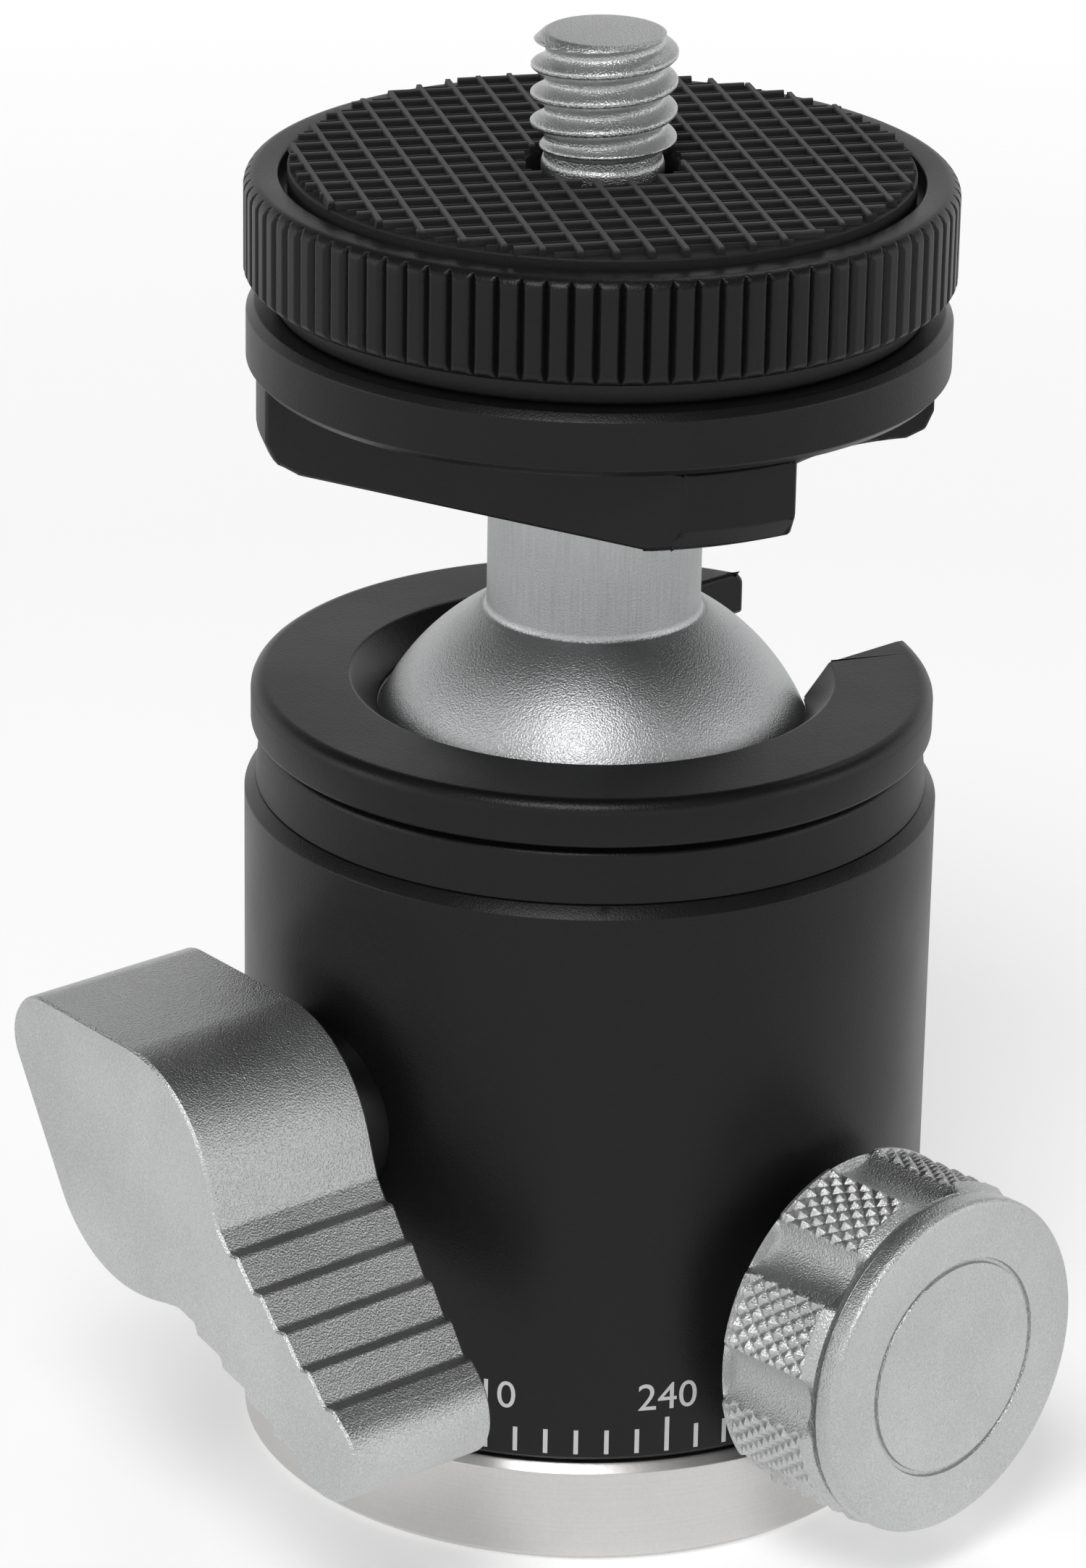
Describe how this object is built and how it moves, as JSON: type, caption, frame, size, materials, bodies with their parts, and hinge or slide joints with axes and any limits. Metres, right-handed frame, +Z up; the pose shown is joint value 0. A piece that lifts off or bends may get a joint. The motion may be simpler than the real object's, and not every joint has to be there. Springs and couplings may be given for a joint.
{
  "type": "tripod ball head",
  "caption": "Compact tripod ball head with a drop notch, panning base, lever lock knob, round panning knob and a camera screw with a knurled lock wheel.",
  "frame": {"origin": "on the body's axis at the underside of the panning base", "axes": "+Z up along the body's axis and the camera screw; +Y away from the picture's viewer, +X to the viewer's right"},
  "size_m": [0.0469, 0.0441, 0.0659],
  "materials": {
    "black_anodised": "satin black anodised aluminium",
    "blasted_aluminium": "fine bead-blasted, matt silver",
    "turned_aluminium": "turned silver with a bright chamfer",
    "steel": "plain machined steel",
    "brass": "plain machined brass",
    "rubber": "matt black rubber with a raised grid",
    "white_plastic": "natural acetal, smooth",
    "black_plastic": "black nylon, smooth"
  },
  "bodies": {
    "foot": {"panning_base": "turned_aluminium", "thread_bushing": "brass", "pan_washer": "white_plastic", "retaining_washer": "steel", "pivot_circlip": "steel"},
    "body": {"housing": "black_anodised", "pivot_bearing": "brass", "collar_cap": "black_anodised", "cap_set_screw": "steel", "upper_ball_seat": "white_plastic", "lift_spring": "steel", "lock_boss": "black_anodised", "pan_lock_collar": "blasted_aluminium"},
    "clamp": {"pressure_ring": "brass"},
    "lock_knob": {"lock_lever": "blasted_aluminium", "lock_screw": "steel"},
    "pan_lock_knob": {"pan_knob": "blasted_aluminium", "pan_lock_screw": "steel"},
    "pan_brake": {"pan_shoe": "brass"},
    "cup": {"ball_cup": "white_plastic"},
    "ball": {"ball_stem": "blasted_aluminium"},
    "head": {"stem_block": "black_anodised", "platform_disc": "black_anodised", "joint_screws": "steel", "camera_screw": "blasted_aluminium"},
    "wheel_rise": {"spacer_washer": "black_plastic"},
    "wheel": {"lock_wheel": "black_anodised", "rubber_pad": "rubber"}
  },
  "joints": [
    {"name": "panning", "type": "hinge", "parent": "foot", "child": "body", "pos_m": [0, 0, 0.0048], "axis": [0, 0, 1], "continuous": true},
    {"name": "lock_knob_turn", "type": "hinge", "parent": "body", "child": "lock_knob", "pos_m": [-0.01321, -0.0107, 0.0195], "axis": [-0.7771, -0.6293, 0], "range_deg": [0, 270]},
    {"name": "clamp_drop", "type": "slide", "parent": "body", "child": "clamp", "axis": [0, 0, -1], "range_m": [0, 0.0003]},
    {"name": "pan_knob_turn", "type": "hinge", "parent": "body", "child": "pan_lock_knob", "pos_m": [0.01136, -0.01197, 0.0106], "axis": [-0.6884, 0.7254, 0], "range_deg": [0, 180]},
    {"name": "pan_brake_slide", "type": "slide", "parent": "body", "child": "pan_brake", "axis": [-0.6884, 0.7254, 0], "range_m": [0, 0.00035]},
    {"name": "tilt_direction", "type": "hinge", "parent": "body", "child": "cup", "pos_m": [0, 0, 0.0304], "axis": [0, 0, 1], "range_deg": [-180, 0]},
    {"name": "ball_tilt", "type": "hinge", "parent": "cup", "child": "ball", "pos_m": [0, 0, 0.0304], "axis": [-0.6428, 0.766, 0], "range_deg": [-32, 90]},
    {"name": "head_swivel", "type": "hinge", "parent": "ball", "child": "head", "pos_m": [0, 0, 0.0472], "axis": [0, 0, 1], "continuous": true},
    {"name": "wheel_rise", "type": "slide", "parent": "head", "child": "wheel_rise", "axis": [0, 0, 1], "range_m": [0, 0.00254]},
    {"name": "wheel_turn", "type": "hinge", "parent": "wheel_rise", "child": "wheel", "pos_m": [0, 0, 0.055], "axis": [0, 0, 1], "range_deg": [0, 720]}
  ],
  "couplings": [
    {"joint": "lock_knob_turn", "follows": "clamp_drop", "rad_per_m": 15706},
    {"joint": "pan_knob_turn", "follows": "pan_brake_slide", "rad_per_m": 8975.1},
    {"joint": "wheel_turn", "follows": "wheel_rise", "rad_per_m": 4946.9}
  ]
}
